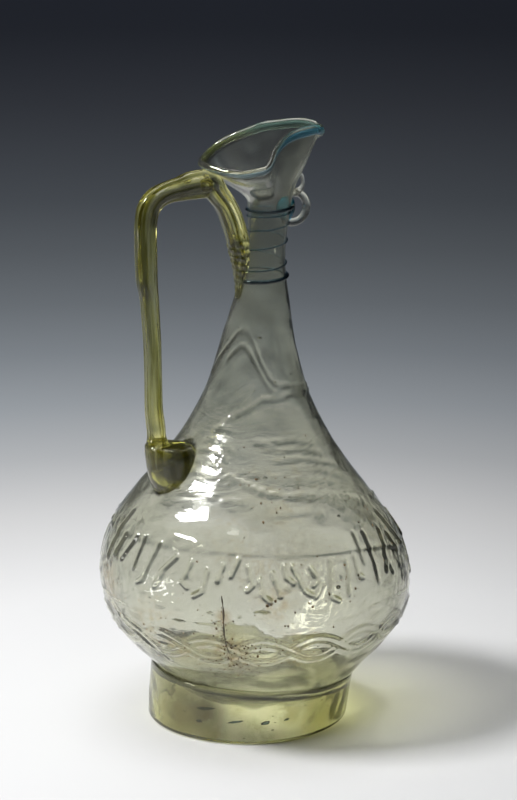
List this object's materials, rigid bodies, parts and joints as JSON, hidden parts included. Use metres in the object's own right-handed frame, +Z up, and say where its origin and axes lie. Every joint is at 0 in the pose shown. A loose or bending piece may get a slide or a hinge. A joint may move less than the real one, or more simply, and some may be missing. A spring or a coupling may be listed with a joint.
{
  "type": "glass ewer",
  "caption": "Ancient mould-blown glass ewer with a pear-shaped hollow body, slim neck, pinched spout, looped handle, trailed threads, small ring and ring foot.",
  "frame": {"origin": "on the table, at the middle of the ewer's bounding box seen from above", "axes": "+Z up, +X toward the spout's tip, -X toward the handle, +Y to the left of the spout"},
  "size_m": [0.1352, 0.135, 0.2583],
  "materials": {
    "pale_glass": "clear pale grey-green, fire-polished, with fine striations, bubbles and faint brown burial stain",
    "olive_glass": "olive to yellow-green glass, clear and streaked, fire-polished",
    "blue_glass": "dark blue-green trailed glass, glossy"
  },
  "bodies": {
    "root": {"vessel": "pale_glass", "foot": "olive_glass", "handle": "olive_glass", "neck_thread": "blue_glass", "lip_thread": "blue_glass", "spout_ring": "pale_glass"}
  },
  "joints": []
}
